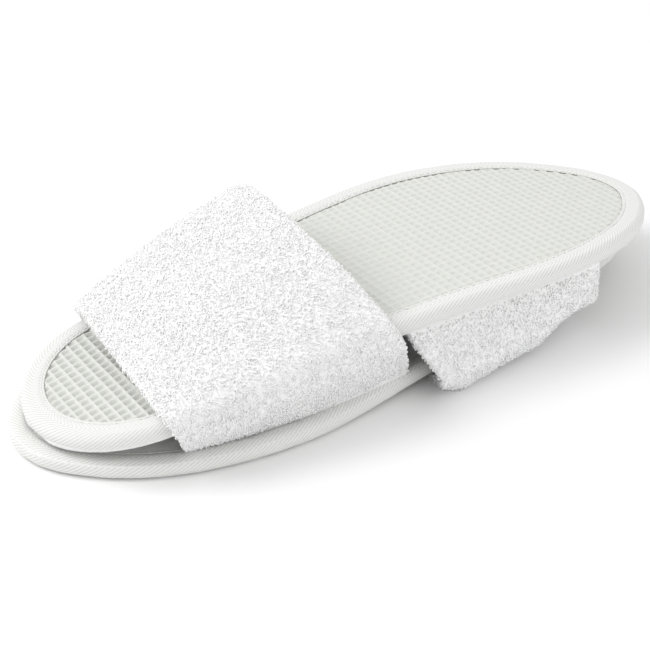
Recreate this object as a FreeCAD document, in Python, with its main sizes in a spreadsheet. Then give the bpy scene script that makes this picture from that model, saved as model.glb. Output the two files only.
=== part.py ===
"""Nested pair of open-toe terry spa slippers, built as a parametric FreeCAD document.

The lower slipper stands right side up. The upper slipper lies upside down on it, with its heel
inside the lower slipper's upper and its own upper wrapped round the lower slipper's heel.

Each slipper is drawn in its own frame: toe towards -X, outsole down at Z = 0, millimetres. The
lower slipper is only moved, so that the pair stands centred on the origin. The upper slipper is also
turned over and nested. Both moves are Placements.
"""
import FreeCAD, Part

import math
import os

import Sketcher

SIZES = {
    # sole outline: four tangent arcs and a straight side, mirrored about the long axis
    "sole_length": 285.0,
    "tip_radius": 34.0,
    "shoulder_radius": 82.0,
    "shoulder_place": -69.0,
    "ball_radius": 139.0,
    "ball_place": -50.0,
    "heel_radius": 44.0,
    # sole sandwich, from the ground up
    "tape_thickness": 0.8,
    "outsole_top": 3.2,
    "midsole_top": 4.8,
    "insole_top": 6.2,
    "sole_thickness": 7.0,
    "tape_width": 9.0,
    # row of thread that holds the tape, near the tape's inner edge
    "thread_height": 0.25,
    "thread_outer_inset": 7.9,
    "thread_inner_inset": 8.4,
    # blanks that the outline trims, and how far the sketches reach past them
    "blank_half_length": 160.0,
    "blank_width": 150.0,
    "profile_margin": 10.0,
    "frame_margin": 20.0,
    "block_depth": 6.0,
    # how each sole is flexed: flat, then an arc, then straight on
    "lower_toe_bend_start": 152.0,
    "lower_toe_bend_radius": 400.0,
    "lower_toe_slope": 1.0,
    "lower_heel_bend_start": -52.0,
    "lower_heel_bend_radius": 450.0,
    "lower_heel_slope": 4.1,
    "upper_toe_bend_start": 10.0,
    "upper_toe_bend_radius": 714.0,
    "upper_toe_slope": 11.5,
    "upper_heel_bend_start": 10.0,
    "upper_heel_bend_radius": 714.0,
    "upper_heel_slope": 11.5,
    # upper slipper's place on the lower one
    "nest_forward": 4.8,
    "nest_side": -6.1,
    "nest_rise": 33.9,
    "nest_yaw": -1.7,
    "nest_pitch": -2.6,
    "nest_roll": -2.6,
    # middle of the nested pair, measured from the lower slipper's own centre
    "pair_middle_forward": 2.735,
    "pair_middle_side": -3.98,
    # cloth of the uppers
    "terry_thickness": 1.2,
    "foam_thickness": 0.5,
    "lining_thickness": 0.4,
    "hem_width": 1.4,
    "hem_lip": 0.3,
}

# Arch sections of the lower slipper's upper, toe edge to throat edge. Each is drawn in the YZ
# plane as a near wall, a near shoulder arc, a crown arc, a far shoulder arc and a far wall, then
# sheared along X by lean (per mm of height) and skew (per mm of width).
LOWER_ARCHES = [
    dict(place=-89.8, lean=-0.49, skew=0.19, near_foot=-38.0, near=(-42.5, 18.5, 8.0), crown=600.0,
         far=(36.0, 18.5, 10.5), far_foot=42.0),
    dict(place=-48.5, lean=-0.30, skew=0.13, near_foot=-48.5, near=(-49.5, 25.0, 9.5), crown=260.0,
         far=(33.5, 31.2, 15.0), far_foot=50.0),
    dict(place=4.5, lean=-0.43, skew=0.12, near_foot=-50.0, near=(-51.8, 30.5, 10.5), crown=165.0,
         far=(32.0, 40.0, 18.0), far_foot=49.5),
]
# The upper slipper's own upper is flattened by the lower slipper's heel that lies in it.
UPPER_ARCHES = [
    dict(place=-88.0, lean=0.4, skew=0.0, near_foot=-50.0, near=(-46.5, 27.6, 8.0), crown=3000.0,
         far=(55.0, 20.6, 10.0), far_foot=50.0),
    dict(place=6.0, lean=-0.5, skew=-0.2, near_foot=-48.0, near=(-49.5, 27.7, 8.0), crown=3000.0,
         far=(57.0, 22.6, 8.0), far_foot=48.0),
]
FOOT_DEPTH = 3.0          # height at which the walls start, below the tape's top face

doc = FreeCAD.newDocument("spa_slippers")
sheet = doc.addObject("Spreadsheet::Sheet", "Sizes")
for row, (alias, value) in enumerate(SIZES.items(), start=1):
    sheet.set("A%d" % row, alias)
    sheet.set("B%d" % row, str(value))
    sheet.setAlias("B%d" % row, alias)
doc.recompute()


def size(alias):
    """Value of one driving dimension, read from the sheet."""
    return float(sheet.get(alias))


def plane(body, role):
    """Origin plane of a body, found by its role."""
    return next(f for f in body.Origin.OriginFeatures if f.Role == role)


def new_sketch(body, name, role):
    """Sketch attached to one of the body's own origin planes."""
    sketch = body.newObject("Sketcher::SketchObject", name)
    sketch.AttachmentSupport = [(plane(body, role), "")]
    sketch.MapMode = "FlatFace"
    return sketch


def bind(sketch, name, constraint, expression=None):
    """Adds a constraint, names it and binds it to the sheet."""
    index = sketch.addConstraint(constraint)
    if expression:
        sketch.renameConstraint(index, name)
        sketch.setExpression("Constraints." + name, expression)


def arc(centre, radius, start, end):
    """Counter-clockwise arc between two angles in degrees."""
    circle = Part.Circle(FreeCAD.Vector(centre[0], centre[1], 0), FreeCAD.Vector(0, 0, 1), radius)
    return Part.ArcOfCircle(circle, math.radians(start), math.radians(end))


def polar(centre, radius, angle):
    """Point at an angle in degrees on a circle."""
    turn = math.radians(angle)
    return FreeCAD.Vector(centre[0] + radius * math.cos(turn), centre[1] + radius * math.sin(turn), 0)


def outline_arcs():
    """Centres, radii and joint angles of the outline's +Y half, from toe to heel."""
    half = size("sole_length") / 2
    tip, shoulder = size("tip_radius"), size("shoulder_radius")
    ball, heel = size("ball_radius"), size("heel_radius")
    tip_centre = (tip - half, 0.0)
    shift = size("shoulder_place") - tip_centre[0]
    shoulder_centre = (size("shoulder_place"), -math.sqrt((shoulder - tip) ** 2 - shift ** 2))
    shift = size("ball_place") - shoulder_centre[0]
    drop = math.sqrt((ball - shoulder) ** 2 - shift ** 2)
    ball_centre = (size("ball_place"), shoulder_centre[1] - drop)
    heel_centre = (half - heel, 0.0)
    first = math.degrees(math.atan2(-shoulder_centre[1], tip_centre[0] - shoulder_centre[0]))
    second = math.degrees(math.atan2(drop, shoulder_centre[0] - ball_centre[0]))
    along = (heel_centre[0] - ball_centre[0], heel_centre[1] - ball_centre[1])
    third = math.degrees(math.atan2(along[1], along[0]) + math.acos((ball - heel) / math.hypot(*along)))
    centres = [tip_centre, shoulder_centre, ball_centre, heel_centre]
    return centres, [tip, shoulder, ball, heel], [first, second, third]


def draw_outline(sketch, inset, inset_expression):
    """Draws the sole's outline, moved inwards by an inset, fully constrained."""
    centres, radii, (first, second, third) = outline_arcs()
    radii = [radius - inset for radius in radii]
    mirrored = [(x, -y) for x, y in centres]
    pieces = [
        arc(centres[0], radii[0], first, 360 - first),
        arc(mirrored[1], radii[1], 360 - first, 360 - second),
        arc(mirrored[2], radii[2], 360 - second, 360 - third),
        Part.LineSegment(polar(mirrored[2], radii[2], -third), polar(mirrored[3], radii[3], -third)),
        arc(mirrored[3], radii[3], -third, third),
        Part.LineSegment(polar(centres[3], radii[3], third), polar(centres[2], radii[2], third)),
        arc(centres[2], radii[2], third, second),
        arc(centres[1], radii[1], second, first),
    ]
    base = sketch.addGeometry(pieces, False)[0]
    tip, near_shoulder, near_ball, _, heel, _, far_ball, far_shoulder = range(base, base + 8)
    for step in range(8):
        after = (step + 1) % 8
        sketch.addConstraint(Sketcher.Constraint("Tangent", base + step, 2, base + after, 1))
    less = " - " + inset_expression
    for edge, alias in ((tip, "tip"), (heel, "heel"), (far_shoulder, "shoulder"), (far_ball, "ball")):
        index = ("tip", "shoulder", "ball", "heel").index(alias)
        bind(sketch, alias + "_radius", Sketcher.Constraint("Radius", edge, radii[index]),
             "Sizes." + alias + "_radius" + less)
    for edge in (tip, heel):
        sketch.addConstraint(Sketcher.Constraint("PointOnObject", edge, 3, -1))
    bind(sketch, "tip_centre", Sketcher.Constraint("DistanceX", tip, 3, -1, 1, -centres[0][0]),
         "Sizes.sole_length / 2 - Sizes.tip_radius")
    bind(sketch, "heel_centre", Sketcher.Constraint("DistanceX", -1, 1, heel, 3, centres[3][0]),
         "Sizes.sole_length / 2 - Sizes.heel_radius")
    bind(sketch, "shoulder_centre",
         Sketcher.Constraint("DistanceX", far_shoulder, 3, -1, 1, -centres[1][0]), "-Sizes.shoulder_place")
    bind(sketch, "ball_centre",
         Sketcher.Constraint("DistanceX", far_ball, 3, -1, 1, -centres[2][0]), "-Sizes.ball_place")
    for near, far in ((near_shoulder, far_shoulder), (near_ball, far_ball)):
        sketch.addConstraint(Sketcher.Constraint("Symmetric", near, 3, far, 3, -1))


def flex_points(side, height):
    """Ends of the flat, arc and straight runs of a flexed face at one height, towards one end."""
    sign = -1 if "toe" in side else 1
    start, radius = size(side + "_bend_start"), size(side + "_bend_radius")
    slope = math.radians(size(side + "_slope"))
    reach = start + (radius - height) * math.sin(slope)
    level = radius - (radius - height) * math.cos(slope)
    run = size("blank_half_length") + size("profile_margin") - reach
    end = (sign * (reach + run), level + run * math.tan(slope))
    return (sign * start, height), (sign * reach, level), end, (sign * start, radius)


def draw_flex(sketch, slipper, low, high):
    """Draws the side profile of one layer between two heights above the outsole's face."""
    levels = []
    for value, expression in (low, high):
        toe, heel = (flex_points(slipper + end, value) for end in ("_toe", "_heel"))
        slope_toe, slope_heel = size(slipper + "_toe_slope"), size(slipper + "_heel_slope")
        vector = [FreeCAD.Vector(x, y, 0) for x, y in (toe[2], toe[1], toe[0], heel[0], heel[1], heel[2])]
        edges = [
            Part.LineSegment(vector[0], vector[1]),
            arc(toe[3], size(slipper + "_toe_bend_radius") - value, 270 - slope_toe, 270),
            Part.LineSegment(vector[2], vector[3]),
            arc(heel[3], size(slipper + "_heel_bend_radius") - value, 270, 270 + slope_heel),
            Part.LineSegment(vector[4], vector[5]),
        ]
        first = sketch.addGeometry(edges, False)[0]
        for step in range(4):
            sketch.addConstraint(Sketcher.Constraint("Tangent", first + step, 2, first + step + 1, 1))
        for end, edge, centre in (("_toe", first + 1, toe[3]), ("_heel", first + 3, heel[3])):
            side = slipper + end
            tag = "%s%d" % (end.strip("_"), len(levels))
            bind(sketch, tag + "_radius",
                 Sketcher.Constraint("Radius", edge, size(side + "_bend_radius") - value),
                 "Sizes.%s_bend_radius - %s" % (side, expression))
            bind(sketch, tag + "_rise", Sketcher.Constraint("DistanceY", -1, 1, edge, 3, centre[1]),
                 "Sizes.%s_bend_radius" % side)
            pair = (edge, 3, -1, 1) if centre[0] < 0 else (-1, 1, edge, 3)
            bind(sketch, tag + "_start", Sketcher.Constraint("DistanceX", *pair, abs(centre[0])),
                 "abs(Sizes.%s_bend_start)" % side)
        for end, edge, turn in (("_toe", first, -slope_toe), ("_heel", first + 4, slope_heel)):
            tag = "%s%d" % (end.strip("_"), len(levels))
            angle = Sketcher.Constraint("Angle", edge, math.radians(turn))
            sign = "-" if turn < 0 else ""
            bind(sketch, tag + "_slope", angle, "%sSizes.%s%s_slope * 1 deg" % (sign, slipper, end))
        reach = toe[2][0]
        bind(sketch, "toe%d_end" % len(levels), Sketcher.Constraint("DistanceX", first, 1, -1, 1, -reach),
             "Sizes.blank_half_length + Sizes.profile_margin")
        bind(sketch, "heel%d_end" % len(levels),
             Sketcher.Constraint("DistanceX", -1, 1, first + 4, 2, heel[2][0]),
             "Sizes.blank_half_length + Sizes.profile_margin")
        levels.append(first)
    lower, upper = levels
    for low_end, high_end, low_point, high_point in ((lower, upper, 1, 1), (lower + 4, upper + 4, 2, 2)):
        geometry = sketch.Geometry
        start = geometry[low_end].StartPoint if low_point == 1 else geometry[low_end].EndPoint
        finish = geometry[high_end].StartPoint if high_point == 1 else geometry[high_end].EndPoint
        cap = sketch.addGeometry(Part.LineSegment(start, finish), False)
        sketch.addConstraint(Sketcher.Constraint("Coincident", low_end, low_point, cap, 1))
        sketch.addConstraint(Sketcher.Constraint("Coincident", high_end, high_point, cap, 2))


def add_blank(slipper, name, low, high):
    """Body holding the untrimmed strip of one layer, padded across the sole."""
    body = doc.addObject("PartDesign::Body", name)
    body.Label = name
    profile = new_sketch(body, name + "_profile", "XZ_Plane")
    draw_flex(profile, slipper, low, high)
    pad = body.newObject("PartDesign::Pad", name + "_pad")
    pad.Profile = profile
    pad.Midplane = True
    pad.setExpression("Length", "Sizes.blank_width")
    return body


def trim(body, name, inset, keep_inside):
    """Cuts a layer along the sole's outline: keeps what is inside it, or opens a window."""
    sketch = new_sketch(body, name, "XY_Plane")
    draw_outline(sketch, *inset)
    if keep_inside:
        x = size("blank_half_length") + size("frame_margin")
        y = (size("blank_width") + size("frame_margin")) / 2
        corners = [FreeCAD.Vector(*p) for p in ((-x, -y, 0), (x, -y, 0), (x, y, 0), (-x, y, 0))]
        frame = [Part.LineSegment(a, b) for a, b in zip(corners, corners[1:] + corners[:1])]
        first = sketch.addGeometry(frame, False)[0]
        for step in range(4):
            after = first + (step + 1) % 4
            sketch.addConstraint(Sketcher.Constraint("Coincident", first + step, 2, after, 1))
        for edge in (first, first + 2):
            sketch.addConstraint(Sketcher.Constraint("Horizontal", edge))
        for edge in (first + 1, first + 3):
            sketch.addConstraint(Sketcher.Constraint("Vertical", edge))
        sketch.addConstraint(Sketcher.Constraint("Symmetric", first, 1, first + 2, 1, -1, 1))
        bind(sketch, "frame_length", Sketcher.Constraint("DistanceX", first, 1, first, 2, 2 * x),
             "2 * Sizes.blank_half_length + 2 * Sizes.frame_margin")
        bind(sketch, "frame_width", Sketcher.Constraint("DistanceY", first + 1, 1, first + 1, 2, 2 * y),
             "Sizes.blank_width + Sizes.frame_margin")
    pocket = body.newObject("PartDesign::Pocket", name + "_cut")
    pocket.Profile = sketch
    pocket.Type = "ThroughAll"
    pocket.Midplane = True
    body.Tip = pocket
    return pocket


def named(alias):
    """A sheet value paired with the expression that reads it."""
    return size(alias), "Sizes." + alias


GROUND = (0.0, "0")


def sole_layer(slipper, name, low, high, inset, window=None):
    """One layer of a sole: a flexed strip trimmed to the outline, with an optional window."""
    body = add_blank(slipper, name, low, high)
    trim(body, name + "_outline", inset, True)
    if window:
        trim(body, name + "_window", window, False)
    return body


def boolean(kind, name, base, tool):
    """Part boolean of two document objects."""
    result = doc.addObject("Part::" + kind, name)
    result.Base, result.Tool = base, tool
    result.Label = name
    return result


def build_sole(slipper):
    """Outsole, midsole, insole, binding tape and its two rows of thread."""
    tape = named("tape_thickness")
    outsole = sole_layer(slipper, slipper + "_outsole", tape, named("outsole_top"), tape)
    midsole = sole_layer(slipper, slipper + "_midsole", named("outsole_top"), named("midsole_top"), tape)
    insole = sole_layer(slipper, slipper + "_insole", named("midsole_top"), named("insole_top"), tape)
    blank = sole_layer(slipper, slipper + "_tape_blank", GROUND, named("sole_thickness"), GROUND,
                       named("tape_width"))
    core = sole_layer(slipper, slipper + "_tape_core", tape, named("insole_top"), tape)
    outer, inner = named("thread_outer_inset"), named("thread_inner_inset")
    sunk = (size("thread_height"), "Sizes.thread_height")
    proud = (size("sole_thickness") + size("thread_height"), "(Sizes.sole_thickness + Sizes.thread_height)")
    low_row = sole_layer(slipper, slipper + "_thread_low", GROUND, sunk, outer, inner)
    top_row = sole_layer(slipper, slipper + "_thread_top", named("sole_thickness"), proud, outer, inner)
    hollow = boolean("Cut", slipper + "_tape_hollow", blank, core)
    binding = boolean("Cut", slipper + "_binding_tape", hollow, low_row)
    stitch = doc.addObject("Part::Compound", slipper + "_binding_stitch")
    stitch.Label = slipper + "_binding_stitch"
    stitch.Links = [low_row, top_row]
    return [outsole, midsole, insole, binding, stitch]


def wall_contact(foot, centre, radius, side):
    """Point where a wall from its foot meets the shoulder arc without a corner."""
    across, up = centre[0] - foot[0], centre[1] - foot[1]
    reach = math.hypot(across, up)
    turn = math.atan2(up, across) - side * math.asin(radius / reach)
    run = math.sqrt(reach ** 2 - radius ** 2)
    return (foot[0] + run * math.cos(turn), foot[1] + run * math.sin(turn))


def section_wire(spec, depth):
    """Closed section of an upper, moved inwards by a depth, placed and sheared along X."""
    centres = [spec["near"][:2], spec["far"][:2]]
    radii = [spec["near"][2], spec["far"][2]]
    crown_radius = spec["crown"]
    apart = math.dist(*centres)
    legs = [crown_radius - radius for radius in radii]
    along = (apart ** 2 + legs[0] ** 2 - legs[1] ** 2) / (2 * apart)
    below = math.sqrt(legs[0] ** 2 - along ** 2)
    unit = ((centres[1][0] - centres[0][0]) / apart, (centres[1][1] - centres[0][1]) / apart)
    crown = (centres[0][0] + along * unit[0] + below * unit[1],
             centres[0][1] + along * unit[1] - below * unit[0])
    tops = [math.degrees(math.atan2(c[1] - crown[1], c[0] - crown[0])) for c in centres]
    turns, walls = [], []
    for foot_y, centre, radius, side in zip((spec["near_foot"], spec["far_foot"]), centres, radii, (-1, 1)):
        foot = (foot_y, FOOT_DEPTH)
        contact = wall_contact(foot, centre, radius, side)
        turn = math.atan2(contact[1] - centre[1], contact[0] - centre[0])
        inwards = FreeCAD.Vector(math.cos(turn), math.sin(turn), 0) * depth
        walls.append([FreeCAD.Vector(*point, 0) - inwards for point in (foot, contact)])
        turns.append(math.degrees(turn))
    curves = [
        Part.LineSegment(walls[0][0], walls[0][1]),
        arc(centres[0], radii[0] - depth, tops[0], turns[0] % 360),
        arc(crown, crown_radius - depth, tops[1], tops[0]),
        arc(centres[1], radii[1] - depth, turns[1], tops[1]),
        Part.LineSegment(walls[1][1], walls[1][0]),
        Part.LineSegment(walls[1][0], walls[0][0]),
    ]
    wire = Part.Wire(Part.__sortEdges__([curve.toShape() for curve in curves]))
    # drawn with y across and z up in the XY plane; this matrix stands it up and shears it
    matrix = FreeCAD.Matrix(spec["skew"], spec["lean"], 1, spec["place"] - spec["lean"] * FOOT_DEPTH,
                            1, 0, 0, 0, 0, 1, 0, 0, 0, 0, 0, 1)
    return wire.transformGeometry(matrix)


def add_shape(name, shape):
    """Document object that holds a finished shape."""
    feature = doc.addObject("Part::Feature", name)
    feature.Label = name
    feature.Shape = shape
    return feature


def build_upper(slipper, arches, fittings):
    """Terry, foam and lining of one open-toe upper, and the hem facings on its two edges.

    Each layer is what is left between two lofts, so that neighbours share one surface. The
    fittings, the block of the sole and the thread, are cut from all of them.
    """
    depths = [0.0]
    for alias in ("terry_thickness", "foam_thickness", "lining_thickness"):
        depths.append(depths[-1] + size(alias))
    lofts = [Part.makeLoft([section_wire(spec, depth) for spec in arches], True, False) for depth in depths]
    shapes = {}
    for name, outer, inner in zip(("upper_terry", "upper_foam", "upper_lining"), lofts, lofts[1:]):
        shapes[name] = outer.cut(inner)
    for name, spec, step in (("toe_hem", arches[0], -1), ("throat_hem", arches[-1], 1)):
        edge = dict(spec, place=spec["place"] + step * size("hem_width"))
        outer, inner = (Part.makeLoft([section_wire(s, depth) for s in (spec, edge)], True, True)
                        for depth in (-size("hem_lip"), depths[-1]))
        shapes[name] = outer.cut(inner)
    return [add_shape(slipper + "_" + name, shape.cut([item.Shape for item in fittings]))
            for name, shape in shapes.items()]


def pair_middle():
    """Move that brings the pair's middle to the origin."""
    return FreeCAD.Vector(-size("pair_middle_forward"), -size("pair_middle_side"), 0)


def nest_placement():
    """Turns the upper slipper over and sets it in its place on the lower one."""
    turn = FreeCAD.Rotation(FreeCAD.Vector(0, 0, 1), size("nest_yaw"))
    turn = turn.multiply(FreeCAD.Rotation(FreeCAD.Vector(0, 1, 0), size("nest_pitch")))
    turn = turn.multiply(FreeCAD.Rotation(FreeCAD.Vector(1, 0, 0), size("nest_roll")))
    turn = turn.multiply(FreeCAD.Rotation(FreeCAD.Vector(0, 1, 0), 180))
    base = FreeCAD.Vector(size("nest_forward"), size("nest_side"), size("nest_rise"))
    return FreeCAD.Placement(base + pair_middle(), turn)


def build_slipper(slipper, arches):
    """All the pieces of one slipper, in its own frame."""
    pieces = build_sole(slipper)
    depth = (-size("block_depth"), "(-Sizes.block_depth)")
    block = add_blank(slipper, slipper + "_sole_block", depth, named("sole_thickness"))
    doc.recompute()
    return pieces + build_upper(slipper, arches, [block, pieces[-1]])


def check(objects):
    """Stops the build when an object failed or a piece is not a sound solid."""
    for item in doc.Objects:
        if "Invalid" in item.State or "Error" in item.State:
            raise RuntimeError("%s did not build: %s" % (item.Label, item.State))
    for item in objects:
        shape = item.Shape
        if shape.isNull() or not shape.isValid() or not shape.Solids:
            raise RuntimeError("%s has no valid solid" % item.Label)


def main():
    """Builds both slippers, checks them and writes one file for each piece."""
    lower = build_slipper("lower", LOWER_ARCHES)
    upper = build_slipper("upper", UPPER_ARCHES)
    for pieces, placement in ((lower, FreeCAD.Placement(pair_middle(), FreeCAD.Rotation())),
                              (upper, nest_placement())):
        for piece in pieces:
            piece.Placement = placement
    doc.recompute()
    pieces = lower + upper
    check(pieces)
    os.makedirs("parts", exist_ok=True)
    for piece in pieces:
        piece.Shape.exportStep("parts/%s.step" % piece.Label)
        box = piece.Shape.BoundBox
        print("%-24s %9.1f mm3  solids %d  x %.1f..%.1f  y %.1f..%.1f  z %.2f..%.2f" % (
            piece.Label, piece.Shape.Volume, len(piece.Shape.Solids),
            box.XMin, box.XMax, box.YMin, box.YMax, box.ZMin, box.ZMax))


main()
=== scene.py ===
"""Visual model of a nested pair of open-toe terry spa slippers.

Every piece is drawn in its slipper's own frame in millimetres (toe towards -X, outsole down at
height 0), flexed with the sole, and then posed into the row frame in metres.
"""

from __future__ import annotations

import logging
import math
from dataclasses import dataclass, field
from enum import Enum

import bpy
import numpy as np
from mathutils import Matrix, Vector, noise

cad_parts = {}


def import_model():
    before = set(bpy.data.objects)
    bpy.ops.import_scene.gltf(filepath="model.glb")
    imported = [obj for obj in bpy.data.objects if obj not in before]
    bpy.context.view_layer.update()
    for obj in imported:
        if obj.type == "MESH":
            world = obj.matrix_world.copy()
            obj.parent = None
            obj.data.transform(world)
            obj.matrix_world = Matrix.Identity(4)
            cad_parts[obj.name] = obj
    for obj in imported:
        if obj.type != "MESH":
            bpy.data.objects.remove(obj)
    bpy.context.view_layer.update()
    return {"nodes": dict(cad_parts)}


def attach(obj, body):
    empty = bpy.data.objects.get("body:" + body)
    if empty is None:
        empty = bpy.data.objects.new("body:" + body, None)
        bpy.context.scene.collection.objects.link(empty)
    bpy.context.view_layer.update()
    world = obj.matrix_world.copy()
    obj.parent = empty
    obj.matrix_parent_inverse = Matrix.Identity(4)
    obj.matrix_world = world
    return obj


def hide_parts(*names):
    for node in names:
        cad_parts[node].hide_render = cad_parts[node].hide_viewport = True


log = logging.getLogger("spa_slippers")

MM = 0.001
TINY = 1e-9
Array = np.ndarray
Obj = bpy.types.Object
Socket = bpy.types.NodeSocket


def unit(vectors: Array) -> Array:
    """Vectors scaled to length 1."""
    return vectors / np.maximum(np.linalg.norm(vectors, axis=-1), TINY)[..., None]


def walk_along(line: Array) -> Array:
    """Distance walked along a line of points, from 0 at its first."""
    return np.concatenate([[0], np.cumsum(np.linalg.norm(np.diff(line, axis=0), axis=1))])


def read_along(at: Array, walked: Array, line: Array) -> Array:
    """Rows of a line at distances walked along it."""
    return np.stack([np.interp(at, walked, column) for column in line.T], 1)


def line_normals(line: Array) -> Array:
    """Unit normals on the left of a flat line."""
    tangent = np.gradient(line, axis=0)
    return unit(np.stack([-tangent[:, 1], tangent[:, 0]], 1))


class Side(Enum):
    """Which slipper of the nested pair a piece belongs to."""

    LOWER = "lower"
    UPPER = "upper"

    @property
    def body(self) -> str:
        """Name of the moving body that the slipper's pieces ride on."""
        return f"{self.value}_slipper"

    def node(self, piece: str) -> str:
        """Name of one of this slipper's solids."""
        return f"{self.value}_{piece}"


# ---- shape of a slipper


@dataclass(frozen=True)
class SoleCut:
    """The sole's plan outline: four tangent arcs and a straight side, mirrored about the long axis."""

    length: float = 285.0
    tip_radius: float = 34.0
    shoulder_radius: float = 82.0
    shoulder_place: float = -69.0
    ball_radius: float = 139.0
    ball_place: float = -50.0
    heel_radius: float = 44.0

    def half_arcs(self) -> list[tuple[tuple[float, float], float, float, float]]:
        """Works out the arcs of the outline's +Y half.

        Returns:
            Each arc's centre, radius, and first and last angle in radians, from toe to heel.
        """
        tip = (self.tip_radius - self.length / 2, 0.0)
        shift = self.shoulder_place - tip[0]
        shoulder = (self.shoulder_place,
                    -math.sqrt((self.shoulder_radius - self.tip_radius) ** 2 - shift ** 2))
        shift = self.ball_place - shoulder[0]
        drop = math.sqrt((self.ball_radius - self.shoulder_radius) ** 2 - shift ** 2)
        ball = (self.ball_place, shoulder[1] - drop)
        heel = (self.length / 2 - self.heel_radius, 0.0)
        first = math.atan2(-shoulder[1], tip[0] - shoulder[0])
        second = math.atan2(drop, shoulder[0] - ball[0])
        along = (heel[0] - ball[0], heel[1] - ball[1])
        third = math.atan2(along[1], along[0]) + math.acos(
            (self.ball_radius - self.heel_radius) / math.hypot(*along))
        radii = [self.tip_radius, self.shoulder_radius, self.ball_radius, self.heel_radius]
        bounds = [math.pi, first, second, third, 0.0]
        return list(zip([tip, shoulder, ball, heel], radii, bounds, bounds[1:]))

    def ring(self, step: float) -> tuple[Array, Array, Array]:
        """Walks round the outline in even steps.

        Args:
            step: Wanted distance between points, in mm.

        Returns:
            Points, outward normals and distance walked, one row for each point.
        """
        spots, normals = [], []
        for centre, radius, start, end in self.half_arcs():
            turns = np.linspace(start, end, 240)
            normals.append(np.stack([np.cos(turns), np.sin(turns)], 1))
            spots.append(np.array(centre) + radius * normals[-1])
        loops = []
        for parts in (spots, normals):
            half = np.concatenate(parts)
            line = np.concatenate([half, (half * [1.0, -1.0])[::-1][1:-1]])[::-1]
            loops.append(np.concatenate([line, line[:1]]))
        walked = walk_along(loops[0])
        at = np.linspace(0, walked[-1], int(round(walked[-1] / step)), endpoint=False)
        points, out = (read_along(at, walked, line) for line in loops)
        return points, unit(out), at

    def half_width(self, x: Array) -> Array:
        """Half the sole's width at places along its length."""
        points, _, _ = self.ring(1.0)
        upper = points[points[:, 1] >= 0]
        upper = upper[np.argsort(upper[:, 0])]
        return np.interp(x, upper[:, 0], upper[:, 1], left=0.0, right=0.0)


@dataclass(frozen=True)
class Flex:
    """How a sole is bent along its length: flat, then an arc, then straight on, at each end."""

    toe_start: float
    toe_radius: float
    toe_slope: float
    heel_start: float
    heel_radius: float
    heel_slope: float

    def level(self, x: Array, height: Array) -> Array:
        """Height of a layer at a place along the sole.

        Args:
            x: Places along the sole.
            height: Heights above the outsole's face before bending.

        Returns:
            Heights in the slipper's frame.
        """
        x, height = np.broadcast_arrays(np.asarray(x, float), np.asarray(height, float))
        rise = height.copy()
        ends = ((-x - self.toe_start, self.toe_radius, self.toe_slope),
                (x - self.heel_start, self.heel_radius, self.heel_slope))
        for past, radius, slope in ends:
            turn = math.radians(slope)
            inner = radius - height
            reach = inner * math.sin(turn)
            bent = radius - np.sqrt(np.maximum(inner ** 2 - np.clip(past, 0, reach) ** 2, 0))
            straight = np.clip(past - reach, 0, None) * math.tan(turn)
            rise = np.where(past > 0, bent + straight, rise)
        return rise


@dataclass(frozen=True)
class Arch:
    """One section of an upper: near wall, near shoulder, crown, far shoulder and far wall."""

    place: float
    lean: float
    skew: float
    near_foot: float
    near: tuple[float, float, float]
    crown: float
    far: tuple[float, float, float]
    far_foot: float
    foot_height: float = 3.0

    def outline(self, sunk: float, count: int) -> Array:
        """Points round the arch's outer line, evenly spaced.

        Args:
            sunk: Height at which the walls start.
            count: Number of points.

        Returns:
            Points in the YZ plane.
        """
        centres = [np.array(self.near[:2]), np.array(self.far[:2])]
        radii = [self.near[2], self.far[2]]
        apart = float(np.linalg.norm(centres[1] - centres[0]))
        legs = [self.crown - radius for radius in radii]
        along = (apart ** 2 + legs[0] ** 2 - legs[1] ** 2) / (2 * apart)
        below = math.sqrt(legs[0] ** 2 - along ** 2)
        ahead = (centres[1] - centres[0]) / apart
        middle = centres[0] + along * ahead + below * np.array([ahead[1], -ahead[0]])
        tops = [math.atan2(*(c - middle)[::-1]) for c in centres]
        walls = []
        for foot_y, centre, radius, side in ((self.near_foot, centres[0], radii[0], -1),
                                             (self.far_foot, centres[1], radii[1], 1)):
            foot = np.array([foot_y, self.foot_height])
            gap = centre - foot
            reach = float(np.linalg.norm(gap))
            turn = math.atan2(gap[1], gap[0]) - side * math.asin(radius / reach)
            contact = foot + math.sqrt(reach ** 2 - radius ** 2) * np.array([math.cos(turn), math.sin(turn)])
            share = (sunk - foot[1]) / (contact[1] - foot[1])
            walls.append((foot + share * (contact - foot), contact))
        start = math.atan2(*(walls[0][1] - centres[0])[::-1]) % (2 * math.pi)
        end = math.atan2(*(walls[1][1] - centres[1])[::-1])
        runs = [np.linspace(*walls[0], 40)]
        for centre, radius, first, last in ((centres[0], radii[0], start, tops[0]),
                                            (middle, self.crown, tops[0], tops[1]),
                                            (centres[1], radii[1], tops[1], end)):
            turns = np.linspace(first, last, 160)[1:]
            runs.append(centre + radius * np.stack([np.cos(turns), np.sin(turns)], 1))
        runs.append(np.linspace(walls[1][1], walls[1][0], 40)[1:])
        line = np.concatenate(runs)
        walked = walk_along(line)
        return read_along(np.linspace(0, walked[-1], count), walked, line)

    def place_points(self, points: Array) -> Array:
        """Moves points of the YZ plane to where this section stands, with its lean and skew."""
        x = self.place + self.lean * (points[:, 1] - self.foot_height) + self.skew * points[:, 0]
        return np.stack([x, points[:, 0], points[:, 1]], 1)


@dataclass(frozen=True)
class Layers:
    """Heights in the sole and width of its tape, in mm."""

    midsole_top: float = 4.8
    insole_top: float = 6.2
    thickness: float = 7.0
    tape_width: float = 9.0


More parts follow.
